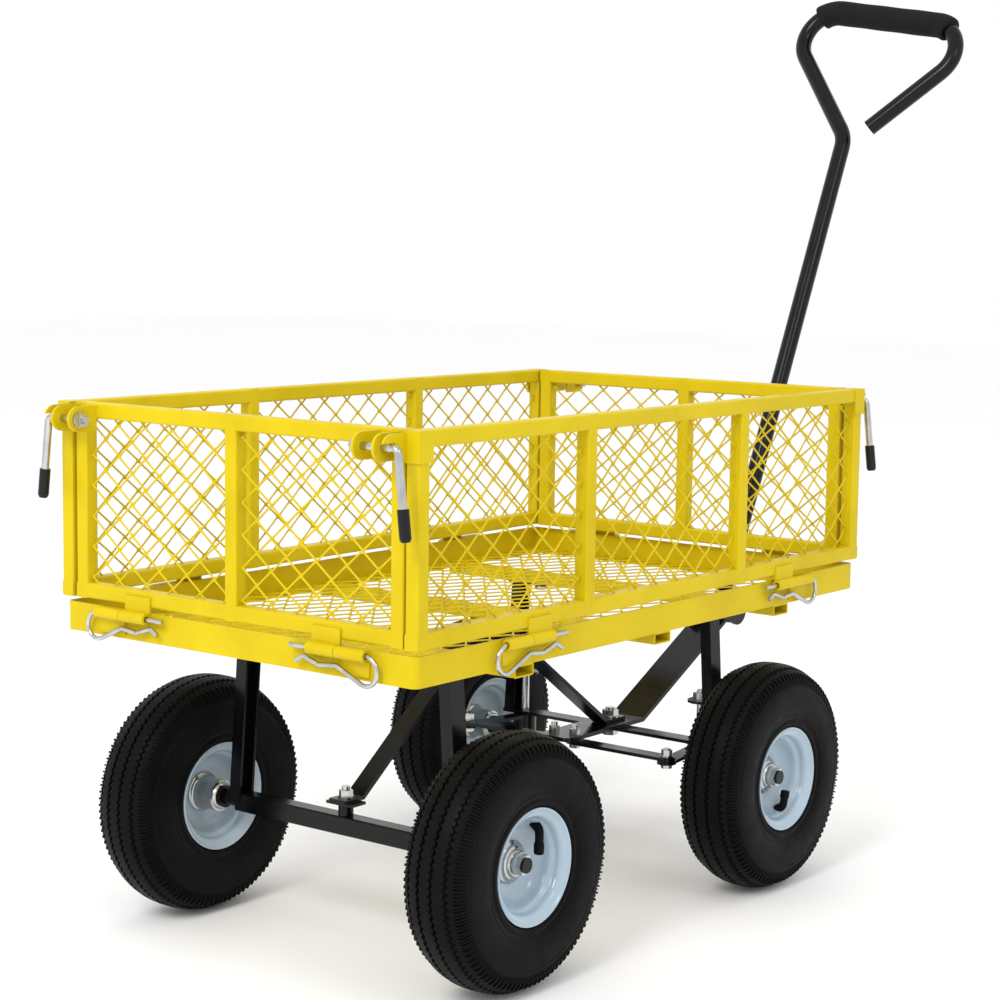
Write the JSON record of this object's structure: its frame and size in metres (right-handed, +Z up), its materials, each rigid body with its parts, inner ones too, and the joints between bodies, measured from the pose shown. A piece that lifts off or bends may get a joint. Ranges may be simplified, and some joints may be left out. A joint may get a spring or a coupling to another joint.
{
  "type": "garden cart",
  "caption": "Four-wheeled steel mesh garden cart with fold-down lift-off side panels and gates, corner lever latches, pneumatic tyres and a loop pull handle that steers the front axle.",
  "frame": {"origin": "on the ground under the middle of the whole cart's box, handle included", "axes": "+X forward, towards the pull handle; +Y to the cart's left; +Z up"},
  "size_m": [1.3107, 0.507, 1.0729],
  "materials": {
    "yellow_paint": "gloss yellow powder coat",
    "black_paint": "gloss black powder coat",
    "zinc_steel": "bright zinc plate",
    "rim_paint": "gloss pale blue-grey paint",
    "tyre_rubber": "matte",
    "inner_tube_rubber": "matte",
    "latch_grip": "satin vinyl",
    "handle_foam": "matte closed-cell foam"
  },
  "bodies": {
    "chassis": {"bed_frame": "yellow_paint", "bed_floor_mesh": "yellow_paint", "bed_cross_tubes": "yellow_paint", "rear_axle": "black_paint", "rear_brace": "black_paint", "front_axle": "black_paint", "front_brace": "black_paint", "chassis_bolts": "zinc_steel", "steering_pins": "zinc_steel", "rear_wheel_nuts": "zinc_steel"},
    "side_left": {"side_left_frame": "yellow_paint", "side_left_mesh": "yellow_paint"},
    "side_right": {"side_right_frame": "yellow_paint", "side_right_mesh": "yellow_paint"},
    "gate_rear": {"gate_rear_frame": "yellow_paint", "gate_rear_mesh": "yellow_paint"},
    "gate_front": {"gate_front_frame": "yellow_paint", "gate_front_mesh": "yellow_paint"},
    "knuckle_left": {"knuckle_left": "black_paint", "knuckle_left_fasteners": "zinc_steel"},
    "knuckle_right": {"knuckle_right": "black_paint", "knuckle_right_fasteners": "zinc_steel"},
    "steering_plate": {"steering_plate": "black_paint", "steering_plate_bolts": "zinc_steel"},
    "tie_rod_left": {"tie_rod_left": "black_paint"},
    "tie_rod_right": {"tie_rod_right": "black_paint"},
    "handle": {"handle_tube": "black_paint", "handle_grip": "handle_foam"},
    "latch_rear_left": {"latch_rear_left_rod": "zinc_steel", "latch_rear_left_grip": "latch_grip"},
    "latch_rear_right": {"latch_rear_right_rod": "zinc_steel", "latch_rear_right_grip": "latch_grip"},
    "latch_front_left": {"latch_front_left_rod": "zinc_steel", "latch_front_left_grip": "latch_grip"},
    "latch_front_right": {"latch_front_right_rod": "zinc_steel", "latch_front_right_grip": "latch_grip"},
    "clip_left_rear": {"clip_left_rear": "zinc_steel"},
    "clip_left_front": {"clip_left_front": "zinc_steel"},
    "clip_right_rear": {"clip_right_rear": "zinc_steel"},
    "clip_right_front": {"clip_right_front": "zinc_steel"},
    "clip_rear_left": {"clip_rear_left": "zinc_steel"},
    "clip_rear_right": {"clip_rear_right": "zinc_steel"},
    "clip_front_left": {"clip_front_left": "zinc_steel"},
    "clip_front_right": {"clip_front_right": "zinc_steel"},
    "wheel_rear_left": {"wheel_rear_left_tyre": "tyre_rubber", "wheel_rear_left_tube": "inner_tube_rubber", "wheel_rear_left_rim": "rim_paint", "wheel_rear_left_bearings": "zinc_steel"},
    "wheel_rear_right": {"wheel_rear_right_tyre": "tyre_rubber", "wheel_rear_right_tube": "inner_tube_rubber", "wheel_rear_right_rim": "rim_paint", "wheel_rear_right_bearings": "zinc_steel"},
    "wheel_front_left": {"wheel_front_left_tyre": "tyre_rubber", "wheel_front_left_tube": "inner_tube_rubber", "wheel_front_left_rim": "rim_paint", "wheel_front_left_bearings": "zinc_steel"},
    "wheel_front_right": {"wheel_front_right_tyre": "tyre_rubber", "wheel_front_right_tube": "inner_tube_rubber", "wheel_front_right_rim": "rim_paint", "wheel_front_right_bearings": "zinc_steel"}
  },
  "joints": [
    {"name": "side_left_fold", "type": "hinge", "parent": "chassis", "child": "side_left", "pos_m": [-0.21442, 0.245, 0.357], "axis": [-1, 0, 0], "range_deg": [0, 160]},
    {"name": "side_right_fold", "type": "hinge", "parent": "chassis", "child": "side_right", "pos_m": [-0.21442, -0.245, 0.357], "axis": [1, 0, 0], "range_deg": [0, 160]},
    {"name": "gate_rear_fold", "type": "hinge", "parent": "chassis", "child": "gate_rear", "pos_m": [-0.62542, 0, 0.357], "axis": [0, -1, 0], "range_deg": [0, 165]},
    {"name": "gate_front_fold", "type": "hinge", "parent": "chassis", "child": "gate_front", "pos_m": [0.19658, 0, 0.357], "axis": [0, 1, 0], "range_deg": [0, 48]},
    {"name": "latch_rear_left_turn", "type": "hinge", "parent": "gate_rear", "child": "latch_rear_left", "pos_m": [-0.64242, 0.2, 0.555], "axis": [0, 1, 0], "range_deg": [0, 175]},
    {"name": "latch_rear_right_turn", "type": "hinge", "parent": "gate_rear", "child": "latch_rear_right", "pos_m": [-0.64242, -0.2, 0.555], "axis": [0, 1, 0], "range_deg": [0, 175]},
    {"name": "latch_front_left_turn", "type": "hinge", "parent": "gate_front", "child": "latch_front_left", "pos_m": [0.21358, 0.2, 0.555], "axis": [0, -1, 0], "range_deg": [0, 175]},
    {"name": "latch_front_right_turn", "type": "hinge", "parent": "gate_front", "child": "latch_front_right", "pos_m": [0.21358, -0.2, 0.555], "axis": [0, -1, 0], "range_deg": [0, 175]},
    {"name": "clip_left_rear_pull", "type": "slide", "parent": "chassis", "child": "clip_left_rear", "axis": [-1, 0, 0], "range_m": [0, 0.1]},
    {"name": "clip_left_front_pull", "type": "slide", "parent": "chassis", "child": "clip_left_front", "axis": [1, 0, 0], "range_m": [0, 0.1]},
    {"name": "clip_right_rear_pull", "type": "slide", "parent": "chassis", "child": "clip_right_rear", "axis": [-1, 0, 0], "range_m": [0, 0.1]},
    {"name": "clip_right_front_pull", "type": "slide", "parent": "chassis", "child": "clip_right_front", "axis": [1, 0, 0], "range_m": [0, 0.1]},
    {"name": "clip_rear_left_pull", "type": "slide", "parent": "chassis", "child": "clip_rear_left", "axis": [0, 1, 0], "range_m": [0, 0.1]},
    {"name": "clip_rear_right_pull", "type": "slide", "parent": "chassis", "child": "clip_rear_right", "axis": [0, -1, 0], "range_m": [0, 0.1]},
    {"name": "clip_front_left_pull", "type": "slide", "parent": "chassis", "child": "clip_front_left", "axis": [0, 1, 0], "range_m": [0, 0.1]},
    {"name": "clip_front_right_pull", "type": "slide", "parent": "chassis", "child": "clip_front_right", "axis": [0, -1, 0], "range_m": [0, 0.1]},
    {"name": "wheel_rear_left_spin", "type": "hinge", "parent": "chassis", "child": "wheel_rear_left", "pos_m": [-0.44742, 0.215, 0.13], "axis": [0, 1, 0], "continuous": true},
    {"name": "wheel_rear_right_spin", "type": "hinge", "parent": "chassis", "child": "wheel_rear_right", "pos_m": [-0.44742, -0.215, 0.13], "axis": [0, 1, 0], "continuous": true},
    {"name": "wheel_front_left_spin", "type": "hinge", "parent": "knuckle_left", "child": "wheel_front_left", "pos_m": [0.03058, 0.215, 0.13], "axis": [0, 1, 0], "continuous": true},
    {"name": "wheel_front_right_spin", "type": "hinge", "parent": "knuckle_right", "child": "wheel_front_right", "pos_m": [0.03058, -0.215, 0.13], "axis": [0, 1, 0], "continuous": true},
    {"name": "steer", "type": "hinge", "parent": "chassis", "child": "steering_plate", "pos_m": [0.03058, 0, 0.16], "axis": [0, 0, 1], "range_deg": [-25, 25]},
    {"name": "knuckle_left_turn", "type": "hinge", "parent": "chassis", "child": "knuckle_left", "pos_m": [0.03058, 0.13, 0.13], "axis": [0, 0, 1], "range_deg": [-25, 25]},
    {"name": "knuckle_right_turn", "type": "hinge", "parent": "chassis", "child": "knuckle_right", "pos_m": [0.03058, -0.13, 0.13], "axis": [0, 0, 1], "range_deg": [-25, 25]},
    {"name": "tie_rod_left_turn", "type": "hinge", "parent": "steering_plate", "child": "tie_rod_left", "pos_m": [-0.06242, 0.015, 0.154], "axis": [0, 0, 1], "range_deg": [-25, 25]},
    {"name": "tie_rod_right_turn", "type": "hinge", "parent": "steering_plate", "child": "tie_rod_right", "pos_m": [-0.06242, -0.015, 0.154], "axis": [0, 0, 1], "range_deg": [-25, 25]},
    {"name": "handle_fold", "type": "hinge", "parent": "steering_plate", "child": "handle", "pos_m": [0.27258, 0, 0.275], "axis": [0, 1, 0], "range_deg": [-33, 75]}
  ],
  "couplings": [
    {"joint": "knuckle_left_turn", "follows": "steer", "ratio": 1},
    {"joint": "knuckle_right_turn", "follows": "steer", "ratio": 1},
    {"joint": "tie_rod_left_turn", "follows": "steer", "ratio": -1},
    {"joint": "tie_rod_right_turn", "follows": "steer", "ratio": -1}
  ]
}
